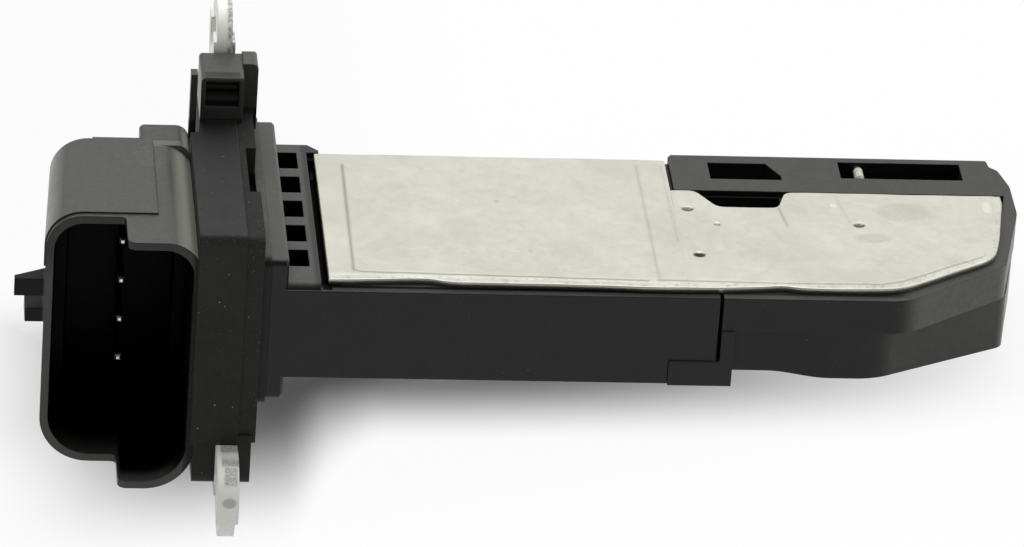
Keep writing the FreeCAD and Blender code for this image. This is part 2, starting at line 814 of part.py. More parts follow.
def circuit():
    """Board on its thermal pad under the cover plate, with its chip and capacitors."""
    nodes = {
        "thermal_pad": box(board_start, board_end, -board_side, board_side, board_top, blade_wall_top),
        "circuit_board": box(board_start, board_end, -board_side, board_side, board_bottom, board_top),
    }
    middle = (board_start + board_end) / 2
    reach = chip_side / 2
    nodes["control_chip"] = box(middle - reach, middle + reach, -reach, reach,
                                board_bottom - chip_height, board_bottom)
    length, width, height = capacitor_size
    start = board_start + capacitor_end_margin
    end = board_end - capacitor_end_margin
    side = board_side - capacitor_side_margin
    for i, (x, y) in enumerate([(start, side), (start, -side), (end, side)]):
        nodes[f"capacitor_{i + 1}"] = box(x - length / 2, x + length / 2, y - width / 2, y + width / 2,
                                          board_bottom - height, board_bottom)
    return nodes


def sensor_body(inserts):
    """Moulded body: flange, plug, socket and the blade's trough, with room for what is moulded in."""
    body = fuse(flange(), fin(), plug(), blade_trough(), socket())
    body = fuse(body, *pegs(body_pegs, blade_wall_top - cut_past))
    body = body.cut(tongue_rebate()).cut(sealant_ring(joint_clearance)).cut(carrier_slot())
    for insert in inserts:
        body = body.cut(insert)
    return body


def build():
    """All nodes by name."""
    nodes = {"mounting_plate": mounting_plate(), "seal_ring": seal_ring(), "cover_plate": cover_plate(),
             "plate_sealant": sealant_ring(0), "bypass_cover": bypass_cover(),
             "bypass_housing": bypass_housing()}
    for i in range(pin_count):
        nodes[f"terminal_{i + 1}"] = terminal(i)
        nodes[f"terminal_ribbon_{i + 1}"] = terminal_ribbon(i)
    for i in range(2):
        nodes[f"thermistor_terminal_{i + 1}"] = thermistor_terminal(i)
        nodes[f"thermistor_lead_{i + 1}"] = thermistor_lead(i)
    nodes["thermistor_bead"] = thermistor_bead()
    nodes.update(circuit())
    nodes["sensor_carrier"] = carrier()
    chip_middle = carrier_end - sensing_chip_side / 2 - 0.8
    nodes["sensing_chip"] = box(chip_middle - sensing_chip_side / 2, chip_middle + sensing_chip_side / 2,
                                carrier_y - sensing_chip_side / 2, carrier_y + sensing_chip_side / 2,
                                carrier_z + carrier_thickness,
                                carrier_z + carrier_thickness + sensing_chip_height)
    for i in range(carrier_ribbons):
        nodes[f"carrier_ribbon_{i + 1}"] = carrier_ribbon(i)
    moulded_in = [nodes["mounting_plate"]] + [nodes[f"terminal_{i + 1}"] for i in range(pin_count)]
    moulded_in += [nodes[f"thermistor_terminal_{i + 1}"] for i in range(2)]
    nodes["sensor_body"] = sensor_body(moulded_in)
    return nodes


for name, shape in build().items():
    solids = shape.Solids
    print(f"{name}: {len(solids)} solid(s), {shape.Volume:.1f} mm3, valid {shape.isValid()}")
    solid = solids[0] if len(solids) == 1 else shape
    solid.exportStep(f"parts/{name}.step")
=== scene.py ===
# %% [markdown]
# # Mass airflow sensor
# The part is packed from its CAD solids into one frame: +X along the blade to its tip, +Z the
# metal cover plate's side, and the socket's mouth faces -Y. Blender's lengths are metres. Values
# that lie on the part are named in millimetres, as they would be measured with calipers.

# %% The frame
import bpy
import numpy as np
from mathutils import Matrix, Vector
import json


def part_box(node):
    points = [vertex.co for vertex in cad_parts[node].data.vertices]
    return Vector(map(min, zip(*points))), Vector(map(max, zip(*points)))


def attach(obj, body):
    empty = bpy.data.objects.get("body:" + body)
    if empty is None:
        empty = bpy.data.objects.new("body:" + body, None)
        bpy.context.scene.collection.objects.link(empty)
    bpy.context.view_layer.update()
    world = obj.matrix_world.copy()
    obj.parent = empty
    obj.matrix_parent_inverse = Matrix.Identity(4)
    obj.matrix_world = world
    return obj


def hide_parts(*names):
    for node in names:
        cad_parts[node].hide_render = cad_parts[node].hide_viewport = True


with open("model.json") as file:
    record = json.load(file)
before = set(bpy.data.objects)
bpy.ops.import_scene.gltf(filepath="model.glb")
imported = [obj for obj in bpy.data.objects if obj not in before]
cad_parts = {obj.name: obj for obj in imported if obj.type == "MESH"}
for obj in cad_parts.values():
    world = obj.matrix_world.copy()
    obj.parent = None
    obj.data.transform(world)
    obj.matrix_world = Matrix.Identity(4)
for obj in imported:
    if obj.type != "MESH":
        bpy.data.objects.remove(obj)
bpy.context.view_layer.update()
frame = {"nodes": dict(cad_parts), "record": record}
nodes = frame["nodes"]
MM = 0.001
print("nodes", len(nodes))

# %% [markdown]
# ## Camera
# The picture looks down on the blade from 28 degrees, a little from the socket's side, with a
# slight roll. A camera could be placed by eye, but a long lens hides small errors until parts
# stop lining up, so its angles were fitted to the straight edges in the picture. One point, the
# middle of the flange's lip, then fixes where it stands.

# %% Camera
WIDTH_PX, HEIGHT_PX = 1024, 547
ELEVATION, YAW, ROLL = np.radians([28.0, 6.3, 4.0])
FOCAL_PX = 8300.0
PX_PER_MM = 9.0
LIP_MM = 1.95
LIP_AT_PX = (252.35, 262.15)
FILM_WIDTH_MM = 36.0

# The view's own directions: along the lens, then to the right and up, which the roll turns.
forward = np.array([np.sin(YAW) * np.cos(ELEVATION), np.cos(YAW) * np.cos(ELEVATION), -np.sin(ELEVATION)])
level = np.array([np.cos(YAW), -np.sin(YAW), 0.0])
upright = np.cross(level, forward)
right = np.cos(ROLL) * level + np.sin(ROLL) * upright
up = -np.sin(ROLL) * level + np.cos(ROLL) * upright
distance = FOCAL_PX / PX_PER_MM
aside = (LIP_AT_PX[0] - WIDTH_PX / 2) / FOCAL_PX * distance
below = (LIP_AT_PX[1] - HEIGHT_PX / 2) / FOCAL_PX * distance
place = np.array([LIP_MM, 0, 0]) - forward * distance - right * aside + up * below

camera_data = bpy.data.cameras.new("camera")
camera_data.sensor_width = FILM_WIDTH_MM
camera_data.lens = FOCAL_PX / WIDTH_PX * FILM_WIDTH_MM
camera_data.clip_start = 0.05
camera_data.clip_end = 10.0
camera = bpy.data.objects.new("camera", camera_data)
turn = np.stack([right, up, -forward], axis=1)
camera.matrix_world = Matrix.Translation(Vector(place * MM)) @ Matrix(turn.tolist()).to_4x4()
bpy.context.scene.collection.objects.link(camera)
bpy.context.scene.camera = camera
print("camera at", np.round(place, 1), "lens", round(camera_data.lens, 1))

# %% [markdown]
# ## Floor
# The part lies on a white sweep, on its lower ear's end and its tip. A floor could stay level and
# the part be turned, but then the shared frame would be lost, so the floor leans instead. It goes
# through both points that the part rests on, a hair under them.

# %% Floor
LOW_EAR_MM = (-1.2, -21.2, -23.0)
LOW_TIP_MM = (85.0, -5.0, -7.1)
FLOOR_GAP_MM = 0.4
FLOOR_SIZE = 6.0


def square(name, centre, normal, toward, size):
    """A flat square about a centre, facing a normal: centre ± half its size along two level directions."""
    n = Vector(normal).normalized()
    v = n.cross(Vector(toward).normalized()).normalized()
    u = v.cross(n)
    c = Vector(centre)
    half = size / 2
    corners = [c + u * half * a + v * half * b for a, b in ((-1, -1), (1, -1), (1, 1), (-1, 1))]
    mesh = bpy.data.meshes.new(name)
    mesh.from_pydata([tuple(corner) for corner in corners], [], [(0, 1, 2, 3)])
    obj = bpy.data.objects.new(name, mesh)
    bpy.context.scene.collection.objects.link(obj)
    return obj


low_ear = Vector(LOW_EAR_MM) * MM
rise = Vector(LOW_TIP_MM) * MM - low_ear
floor_normal = Vector((-rise.z, 0.0, rise.x)).normalized()
floor = square("floor", low_ear - floor_normal * FLOOR_GAP_MM * MM, floor_normal, (1, 0, 0), FLOOR_SIZE)
print("floor tilt", round(np.degrees(np.arcsin(-floor_normal.x)), 1))

# %% [markdown]
# ## Node helpers
# A finish in Blender is a tree of nodes. Wiring each one takes three or four lines, so a few
# short methods do it, and every finish below then reads as a recipe: where on the part, how
# strong, what colour.

# %% Node helpers
class Recipe:
    """A material's or world's node tree, with short calls for the nodes that the finishes use."""

    def __init__(self, tree):
        self.tree = tree

    def node(self, kind, **settings):
        """A new node with its settings."""
        made = self.tree.nodes.new(kind)
        for key, value in settings.items():
            setattr(made, key, value)
        return made

    def wire(self, value, socket):
        """Another node's output linked to a socket, or a number or colour set on it."""
        if isinstance(value, bpy.types.NodeSocket):
            self.tree.links.new(value, socket)
        elif isinstance(value, (tuple, list)) and len(value) == 3 and socket.type == "RGBA":
            socket.default_value = (*value, 1.0)
        else:
            socket.default_value = value

    def math(self, operation, a, b=0.0, c=0.0):
        """One sum, product or other step on up to three values."""
        made = self.node("ShaderNodeMath", operation=operation)
        for value, socket in zip((a, b, c), made.inputs):
            self.wire(value, socket)
        return made.outputs[0]

    def times(self, *values):
        """The product of all the values."""
        product = values[0]
        for value in values[1:]:
            product = self.math("MULTIPLY", product, value)
        return product

    def most(self, *values):
        """The largest of the values, which lays one mask over another."""
        top = values[0]
        for value in values[1:]:
            top = self.math("MAXIMUM", top, value)
        return top

    def less(self, value, mask, share=1.0):
        """Value * (1 - share * mask): a value taken down where a mask is one."""
        return self.times(value, self.math("MULTIPLY_ADD", mask, -share, 1.0))

    def blend(self, factor, a, b):
        """Colour a where the factor is nothing, b where it is one."""
        made = self.node("ShaderNodeMix", data_type="RGBA")
        self.wire(factor, made.inputs[0])
        self.wire(a, made.inputs[6])
        self.wire(b, made.inputs[7])
        return made.outputs[2]

    def ramp(self, value, low, high, to_low=0.0, to_high=1.0):
        """Value carried smoothly from one range to another, held at both ends."""
        made = self.node("ShaderNodeMapRange", interpolation_type="SMOOTHSTEP")
        for v, socket in zip((value, low, high, to_low, to_high), made.inputs):
            self.wire(v, socket)
        return made.outputs[0]

    def band(self, value, ends, soft):
        """One between two ends and nothing outside them, with a soft step at each."""
        low, high = ends
        rising = self.ramp(value, low - soft, low + soft)
        return self.times(rising, self.ramp(value, high - soft, high + soft, 1.0, 0.0))

    def spot(self, x, y, at, reach):
        """One at a point, falling to nothing at an ellipse: by (dx / a)^2 + (dy / b)^2 from 0.3 to 1."""
        dx = self.math("DIVIDE", self.math("SUBTRACT", x, at[0]), reach[0])
        dy = self.math("DIVIDE", self.math("SUBTRACT", y, at[1]), reach[1])
        squares = self.math("ADD", self.times(dx, dx), self.times(dy, dy))
        return self.ramp(squares, 0.3, 1.0, 1.0, 0.0)

    def parts(self, vector):
        """A vector's x, y and z."""
        split = self.node("ShaderNodeSeparateXYZ")
        self.wire(vector, split.inputs[0])
        return split.outputs[0], split.outputs[1], split.outputs[2]

    def place(self):
        """The part's own coordinates in millimetres, as a vector and as x, y and z."""
        scale = self.node("ShaderNodeVectorMath", operation="SCALE")
        self.wire(self.node("ShaderNodeTexCoord").outputs["Object"], scale.inputs[0])
        scale.inputs["Scale"].default_value = 1 / MM
        return (scale.outputs[0], *self.parts(scale.outputs[0]))

    def noise(self, vector, per_mm, detail=3.0, rough=0.55, seed=0.0):
        """Even noise with so many lumps a millimetre; the seed picks one noise out of many."""
        made = self.node("ShaderNodeTexNoise", noise_dimensions="4D")
        self.wire(vector, made.inputs["Vector"])
        made.inputs["W"].default_value = seed
        made.inputs["Scale"].default_value = per_mm
        made.inputs["Detail"].default_value = detail
        made.inputs["Roughness"].default_value = rough
        return made.outputs["Fac"]

    def attribute(self, name):
        """A value stored on a piece's own points."""
        return self.node("ShaderNodeAttribute", attribute_name=name).outputs["Fac"]

    def mixed(self, share, first, second):
        """Two shaders joined by a share of the second and sent to the surface."""
        join = self.node("ShaderNodeMixShader")
        self.wire(share, join.inputs[0])
        self.wire(first.outputs[0], join.inputs[1])
        self.wire(second.outputs[0], join.inputs[2])
        self.wire(join.outputs[0], self.tree.nodes["Material Output"].inputs["Surface"])


materials = {}


def recipe_for(slot):
    """A new material for a slot of the record: its recipe and its shader."""
    made = bpy.data.materials.new(slot)
    made.use_nodes = True
    materials[slot] = made
    return Recipe(made.node_tree), made.node_tree.nodes["Principled BSDF"]


def relief(r, shader, height, depth_mm, edge_mm=0.0):
    """Small height, carried into the shader's normal, over edges that look rounded by a radius."""
    bump = r.node("ShaderNodeBump")
    bump.inputs["Strength"].default_value = 1.0
    bump.inputs["Distance"].default_value = depth_mm * MM
    r.wire(height, bump.inputs["Height"])
    if edge_mm:
        rounded = r.node("ShaderNodeBevel", samples=4)
        rounded.inputs["Radius"].default_value = edge_mm * MM
        r.wire(rounded.outputs[0], bump.inputs["Normal"])
    r.wire(bump.outputs[0], shader.inputs["Normal"])


print("recipe calls", len([name for name in vars(Recipe) if not name.startswith("_")]))

# %% [markdown]
# ## Lamps and world
# The studio is brighter behind and above the part than in front of it, as under a soft box at
# the back of a table. That draws the pale sheen on level faces and leaves near faces dark. Many
# lamps could do it, but a world that is pale behind and grey in front gives the same softness
# with three weak lamps. The camera sees the world as plain white, at a strength of one.

# %% Lamps and world
def area_light(name, at, aim, size, watts):
    """A rectangular white lamp at a place, aimed at a point."""
    data = bpy.data.lights.new(name, "AREA")
    data.shape = "RECTANGLE"
    data.size, data.size_y = size
    data.energy = watts
    lamp = bpy.data.objects.new(name, data)
    away = Vector(at) - Vector(aim)
    lamp.matrix_world = Matrix.Translation(Vector(at)) @ away.to_track_quat("Z", "Y").to_matrix().to_4x4()
    bpy.context.scene.collection.objects.link(lamp)


BLADE_MIDDLE = (0.03, 0.0, 0.0)
area_light("top_soft", (0.05, 0.25, 0.75), BLADE_MIDDLE, (0.9, 0.7), 3.4)
area_light("left_soft", (-0.7, 0.1, 0.5), BLADE_MIDDLE, (0.5, 0.5), 0.7)
area_light("right_soft", (0.7, -0.1, 0.4), BLADE_MIDDLE, (0.4, 0.5), 1.0)

GLOW_BEHIND, GLOW_ABOVE, GLOW_LEAST = 0.70, 0.18, 0.10
world = bpy.data.worlds.new("world")
bpy.context.scene.world = world
world.use_nodes = True
sky = Recipe(world.node_tree)
_, toward_back, toward_top = sky.parts(sky.node("ShaderNodeTexCoord").outputs["Generated"])
glow = sky.math("ADD", sky.times(sky.ramp(toward_back, -0.45, 0.5), GLOW_BEHIND),
                sky.times(sky.ramp(toward_top, -0.1, 0.9), GLOW_ABOVE))
glow = sky.math("ADD", glow, GLOW_LEAST)
by_camera = sky.node("ShaderNodeLightPath").outputs["Is Camera Ray"]
strength = sky.math("MULTIPLY_ADD", by_camera, sky.math("SUBTRACT", 1.0, glow), glow)
background = world.node_tree.nodes["Background"]
background.inputs["Color"].default_value = (1, 1, 1, 1)
sky.wire(strength, background.inputs["Strength"])
bpy.context.scene.view_settings.view_transform = "Standard"
print("lamps", len(bpy.data.lights))

# %% [markdown]
# ## White floor
# The floor is paper that keeps the part's shadow. Lit by lamps alone it would be grey in a white
# picture, and all white it would have no shadow. So part of it glows, by a white share that is
# one in the open, falls to nothing beside the part's near side, and rises again past its ends.
# Under the root, where the blade is highest, a painted shadow makes the paper darker still. Rays that
# come by way of metal or clear pieces see the same white as the camera.

# %% White floor
PAPER_LOW, PAPER_HIGH = (0.80, 0.80, 0.80), (0.82, 0.82, 0.82)
PAPER_PAINTED_SHADOW = (0.12, 0.12, 0.12)
OPEN_WHITE = 0.965
SOCKET_SHADE_Y = 7.0
BLADE_SHADE_Y, BLADE_SHADE_LEAN = 15.6, -0.285


def floor_white():
    """White paper: the white share is the clear distance before the shadow's edge over its reach."""
    r, shader = recipe_for("floor_white")
    vector, x, y, z = r.place()
    paper = r.blend(r.noise(vector, 0.02, 2.0), PAPER_LOW, PAPER_HIGH)
    # Painted shadow: the paper's colour is darkened under the blade's root.
    root_painted_shadow = r.times(r.ramp(x, 12.0, 34.0, 1.0, 0.0), r.ramp(y, -6.0, 14.0))
    r.wire(r.blend(root_painted_shadow, paper, PAPER_PAINTED_SHADOW), shader.inputs["Base Color"])
    shader.inputs["Roughness"].default_value = 0.9
    shader.inputs["Specular IOR Level"].default_value = 0.1

    blade_edge = r.math("MULTIPLY_ADD", x, BLADE_SHADE_LEAN, BLADE_SHADE_Y)
    past_socket = r.math("SUBTRACT", blade_edge, SOCKET_SHADE_Y)
    edge = r.math("MULTIPLY_ADD", r.ramp(x, 6.0, 12.0), past_socket, SOCKET_SHADE_Y)
    reach = r.ramp(x, 4.0, 18.0, 33.0, 16.0)
    clear = r.ramp(r.math("DIVIDE", r.math("SUBTRACT", edge, y), reach), 0.0, 1.0)
    past_ends = r.most(r.ramp(x, 24.0, 104.0), r.ramp(x, -32.0, -2.0, 1.0, 0.0))
    behind = r.ramp(y, 10.0, 44.0)
    share = r.math("MULTIPLY_ADD", clear, r.math("SUBTRACT", 1.0, past_ends), past_ends)
    ray = r.node("ShaderNodeLightPath").outputs
    shown = r.most(ray["Is Camera Ray"], ray["Is Glossy Ray"], ray["Is Transmission Ray"])
    r.mixed(r.times(shown, r.times(r.most(share, behind), OPEN_WHITE)), shader, r.node("ShaderNodeEmission"))


floor_white()
floor.data.materials.append(materials["floor_white"])
print("floor", [slot.name for slot in floor.data.materials])

# %% [markdown]
# ## Moulded plastic
# Body, tip and cover are glass-filled plastic: nearly black, with a fine moulded grain, mottled
# gloss, dust and pale specks. It could be one black with a bump, but then no face would stand
# out from the next. Here a pale film tells them apart: real dust with a painted sheen, in patches
# on what faces up and on the end of the tip. So each finish starts from the same masks.

# %% Masks of a plastic
# The pale film's colour: real dust, with a painted sheen where light falls on level faces and the tip's end.
DUST_AND_SHEEN = (0.55, 0.56, 0.48)
SPECK = (0.3, 0.3, 0.28)
DEEP_SHADE = (0.0012, 0.0012, 0.0012, 1)
TIP_END_X = (70.0, 73.0)
WALL_TOP_Z = (4.5, 5.5)
WALL_NEAR_Y = (-15.1, -14.8)
LEVEL_DUST_AND_SHEEN = 0.115
PLASTIC_SPECULAR = 0.28
MOULD_EDGE_MM = 0.22


class Skin:
    """What the plastic's masks are worked out from: places in mm, where a face looks, three noises."""

    def __init__(self, r):
        self.vector, self.x, self.y, self.z = r.place()
        normal = r.node("ShaderNodeNewGeometry").outputs["Normal"]
        self.looks_x, self.looks_y, self.looks_z = r.parts(normal)
        self.fine = r.noise(self.vector, 7.0, 3.0, 0.6)
        self.middle = r.noise(self.vector, 1.6, 4.0, 0.65, 5.0)
        self.broad = r.noise(self.vector, 0.35, 3.0, 0.6, 3.0)
        self.level = r.ramp(self.looks_z, 0.55, 0.98)
        self.faces_near = r.ramp(self.looks_y, -0.9, -0.6, 1.0, 0.0)


def dust_and_sheen_film(r, s, level_dust_and_sheen, end_dust_and_sheen):
    """Dust and painted sheen in patches: so much on level faces, and so much on the faces that end the tip.
    """
    patchy = r.ramp(s.middle, 0.25, 0.75, 0.75, 1.05)
    end_face = r.times(r.ramp(s.looks_x, 0.15, 0.7), r.ramp(s.x, *TIP_END_X))
    return r.most(r.times(s.level, patchy, level_dust_and_sheen), r.times(end_face, patchy, end_dust_and_sheen))


def wall_ledge_shade(r, s):
    """The top of the blade's near wall under the cover plate's overhanging edge: painted shade, with the
    pale film left off.
    """
    ledge = r.times(r.band(s.z, WALL_TOP_Z, 0.05), r.ramp(s.y, -13.1, -12.9, 1.0, 0.0))
    return r.times(ledge, r.ramp(s.x, 46.0, 52.0, 0.9, 0.5), s.level, r.ramp(s.x, 72.0, 74.0, 1.0, 0.0))


def specks(r, s):
    """Pale grains, thick in some patches, and a few larger crumbs anywhere."""
    grains = r.ramp(r.noise(s.vector, 6.0, 1.0, 0.5, 11.0), 0.715, 0.75)
    crumbs = r.ramp(r.noise(s.vector, 2.4, 1.0, 0.5, 13.0), 0.77, 0.785)
    return r.most(r.times(grains, r.ramp(s.middle, 0.4, 0.6, 0.1, 0.7)), crumbs)


def mottled(r, s, rough):
    """Roughness that drifts a little over a few millimetres."""
    return r.math("MULTIPLY_ADD", r.ramp(s.broad, 0.3, 0.7), 0.08, rough - 0.04)


def grain(r, s):
    """The mould's texture: fine grain with slightly larger lumps."""
    return r.math("ADD", r.times(s.fine, 0.6), r.times(s.middle, 0.5))


def cast_plastic(r, shader, colour, rough, height, grain_mm, shade):
    """Colour, gloss and grain on the shader, and plain darkness for the share that no light finds."""
    r.wire(colour, shader.inputs["Base Color"])
    r.wire(rough, shader.inputs["Roughness"])
    shader.inputs["Specular IOR Level"].default_value = PLASTIC_SPECULAR
    relief(r, shader, height, grain_mm, MOULD_EDGE_MM)
    dark = r.node("ShaderNodeBsdfDiffuse")
    dark.inputs["Color"].default_value = DEEP_SHADE
    r.mixed(shade, shader, dark)


print("dust", DUST_AND_SHEEN, "edges rounded by", MOULD_EDGE_MM, "mm")

# %% [markdown]
# ## Tip, cover, carrier and ring
# These are the plain cases of that plastic. The tip's upper half is a shade lighter and duller
# than the lower one, so each has its own black and its own roughness, with the same masks.

# %% Plain plastics
def plastic(slot, black, rough, grain_mm, level_dust_and_sheen=LEVEL_DUST_AND_SHEEN, end_dust_and_sheen=0.0):
    """Black plastic with dust and painted sheen on level and end faces, painted shade on the wall top under
    the plate's edge, and specks.
    """
    r, shader = recipe_for(slot)
    s = Skin(r)
    ledge = wall_ledge_shade(r, s)
    film = r.less(dust_and_sheen_film(r, s, level_dust_and_sheen, end_dust_and_sheen), r.times(ledge, r.ramp(s.y, *WALL_NEAR_Y)))
    colour = r.blend(r.times(specks(r, s), 0.3), r.blend(film, black, DUST_AND_SHEEN), SPECK)
    # Painted shade on the wall top under the plate's edge.
    shade = r.times(ledge, r.ramp(s.y, *WALL_NEAR_Y, 0.0, 0.75))
    cast_plastic(r, shader, colour, mottled(r, s, rough), grain(r, s), grain_mm, shade)


plastic("housing_plastic", (0.007, 0.0073, 0.0068), 0.40, 0.03, level_dust_and_sheen=0.07, end_dust_and_sheen=0.17)
plastic("cover_plastic", (0.0060, 0.0063, 0.0058), 0.34, 0.025, end_dust_and_sheen=0.14)
plastic("carrier_plastic", (0.02, 0.02, 0.02), 0.45, 0.01, level_dust_and_sheen=0.0)
plastic("seal_rubber", (0.006, 0.006, 0.0058), 0.5, 0.01)
print("finishes so far", len(materials))

# %% [markdown]
# ## The body's hollows
# Deep inside the socket, and in the slit between the blade's root and the cover plate, the
# picture is black. Rays that bounce in a black hollow find little light, but enough to show its
# walls grey, so both places get a mask that turns them to plain darkness. The socket's mask is
# its own rounded and tapered shape, because a box would also darken the outside of its corners.

# %% Hollows of the body
SOCKET_MIDDLE = (-12.55, -3.7)
SOCKET_HALF = (7.0, 14.4)
SOCKET_CORNER = 3.4
SOCKET_TAPER = 0.06
SOCKET_FLOOR_Y = 3.2
TAPER_FROM_Y = 6.4
SLIT_X, SLIT_Y, SLIT_Z = (8.7, 9.75), (-15.5, 13.1), (1.0, 5.85)


def in_socket(r, s):
    """One in a rounded box: past its flat runs, sqrt(dx^2 + dz^2) stays within the corner's radius."""
    lean = r.times(r.math("SUBTRACT", TAPER_FROM_Y, s.y), SOCKET_TAPER)
    leftward = r.math("SUBTRACT", r.math("SUBTRACT", SOCKET_MIDDLE[0], s.x), lean)
    across = r.most(leftward, r.math("SUBTRACT", s.x, SOCKET_MIDDLE[0]))
    along = r.math("ABSOLUTE", r.math("SUBTRACT", s.z, SOCKET_MIDDLE[1]))
    past = [r.most(r.math("SUBTRACT", value, half - SOCKET_CORNER), 0.0)
            for value, half in zip((across, along), SOCKET_HALF)]
    gap = r.math("SQRT", r.math("ADD", r.times(past[0], past[0]), r.times(past[1], past[1])))
    within = r.ramp(gap, SOCKET_CORNER + 0.1, SOCKET_CORNER + 0.3, 1.0, 0.0)
    lower_half = r.times(r.ramp(s.y, -17.2, -14.5), r.ramp(s.x, -12.9, -12.4))
    behind_rim = r.most(r.ramp(s.y, -11.4, -5.5), lower_half)
    return r.times(within, behind_rim, r.ramp(s.y, SOCKET_FLOOR_Y, SOCKET_FLOOR_Y + 0.4, 1.0, 0.0))


def in_slit(r, s):
    """One in the gap between the row of pockets and the cover plate's straight end."""
    return r.times(r.band(s.x, SLIT_X, 0.05), r.band(s.z, SLIT_Z, 0.05), r.band(s.y, SLIT_Y, 0.1))


print("socket hollow", 2 * SOCKET_HALF[0], "by", 2 * SOCKET_HALF[1], "mm")

# %% [markdown]
# ## The body's dust and painted light
# The body is handled most, so its dust is uneven: thin on the flange and the blade's root, none on
# the catch. Painted light in the same pale colour lies over it: thick on the socket's turned corner,
# fainter on its outer corner, the bump's front, the lugs' and the flange's near faces and the
# socket's rim. One even film would be simpler, but the flange would then look as pale as the
# socket. Each place is a mask of where it is and of where its faces look.

# %% Dust of the body
ROOT_X, CATCH_X = (7.6, 8.2), (-20.7, -20.5)
FLANGE_X, FLANGE_TOP_Z = (-5.6, 2.1), (12.9, 13.0)
SOCKET_RIM_X, TURNED_X, OUTER_X = (-21.6, -5.9), (-9.6, -4.6), (-21.6, -15.0)
BUMP_X, BUMP_Y, BUMP_Z = (-10.8, -4.3), (5.2, 6.6), (7.0, 11.7)
POCKET_X, POCKET_Y = (-3.6, 0.3), (9.75, 11.0)
# Shares of painted light, in the pale film's colour, on the places below.
CORNER_PAINTED_LIGHT, OUTER_PAINTED_LIGHT, BUMP_PAINTED_LIGHT = 0.8, 0.2, 0.3
LUG_PAINTED_LIGHT, FLANGE_PAINTED_LIGHT, RIM_PAINTED_LIGHT = 0.07, 0.022, 0.11
SCUFF_AT, SCUFF_REACH = (-9.8, 2.2), (2.2, 3.2)


def flange_mask(r, s):
    """One on the flange's block, below the lugs that stand on it."""
    return r.times(r.band(s.x, FLANGE_X, 0.05), r.ramp(s.z, *FLANGE_TOP_Z, 1.0, 0.0))


def lug_pocket(r, s):
    """One inside the upper lug's square pocket."""
    return r.times(r.band(s.x, POCKET_X, 0.05), r.band(s.y, POCKET_Y, 0.1))


def body_dust_and_light(r, s):
    """Dust and painted sheen, thinned on root, catch and flange, with painted light on the body's places
    over it.
    """
    flange = flange_mask(r, s)
    film = r.times(dust_and_sheen_film(r, s, LEVEL_DUST_AND_SHEEN, 0.0), r.ramp(s.x, *ROOT_X, 1.0, 0.2), r.ramp(s.x, *CATCH_X))
    film = r.less(film, flange, 0.95)
    # Painted light on the socket's turned and outer corners, the bump's front, the near faces and the rim.
    turned = r.times(r.ramp(s.looks_x, 0.1, 0.8), r.ramp(s.looks_z, -0.2, 0.15))
    socket_corner = r.times(turned, r.band(s.x, TURNED_X, 0.2), r.ramp(s.z, 4.0, 7.0))
    outer_corner = r.times(r.ramp(s.looks_x, -0.9, -0.35, 1.0, 0.0), r.ramp(s.z, 3.0, 6.0),
                           r.band(s.x, OUTER_X, 0.1))
    bump_front = r.times(r.band(s.y, BUMP_Y, 0.1), r.band(s.x, BUMP_X, 0.1), r.band(s.z, BUMP_Z, 0.3))
    lug_front = r.times(s.faces_near, r.ramp(s.z, 12.8, 13.0))
    flange_front = r.times(s.faces_near, flange)
    mouth_rim = r.times(s.faces_near, r.band(s.x, SOCKET_RIM_X, 0.1), r.ramp(s.z, 3.0, 8.0, 1.0, 0.35))
    film = r.most(film, r.times(socket_corner, CORNER_PAINTED_LIGHT), r.times(outer_corner, OUTER_PAINTED_LIGHT),
                  r.times(bump_front, BUMP_PAINTED_LIGHT), r.times(lug_front, LUG_PAINTED_LIGHT),
                  r.times(flange_front, FLANGE_PAINTED_LIGHT), r.times(mouth_rim, RIM_PAINTED_LIGHT))
    return r.less(film, lug_pocket(r, s), 0.85)


def body_specks(r, s, duller):
    """Specks with a finer dust among them, most of it on the flange, and a scuff on the socket's top."""
    grains = r.ramp(r.noise(s.vector, 8.0, 1.0, 0.5, 17.0), 0.69, 0.73)
    grains = r.times(grains, r.ramp(s.broad, 0.45, 0.6, 0.1, 0.75))
    pale = r.times(r.most(specks(r, s), grains), r.math("MULTIPLY_ADD", duller, 0.75, 0.2))
    scuff = r.times(r.spot(s.x, s.y, SCUFF_AT, SCUFF_REACH), r.ramp(s.fine, 0.56, 0.66))
    return r.most(pale, r.times(scuff, r.ramp(s.z, 11.0, 11.2), 0.5))


print("flange", round(FLANGE_X[1] - FLANGE_X[0], 1), "mm thick")

# %% [markdown]
# ## The body
# The body takes the shared plastic, its own dust and painted light, and the painted shade of its
# hollows. Its flange has a duller skin than the rest. Two ribs lie in the upper lug's pocket. They
# are only seen as dark and light bars, so they are raised in the finish and not in the mesh.

# %% The body
BODY_BLACK = (0.0055, 0.0058, 0.0054)
BODY_ROUGH, BODY_GRAIN_MM = 0.32, 0.02
HOLLOW_SHADE = (0.001, 0.001, 0.001)
UPPER_RIB_Z, LOWER_RIB_Z, RIB_HEIGHT = (16.1, 16.9), (14.3, 15.2), 18.0
DULL_FROM_Z, DULL_TO_Z, DULLER_BY = (-17.5, -16.5), (12.6, 12.9), 0.4


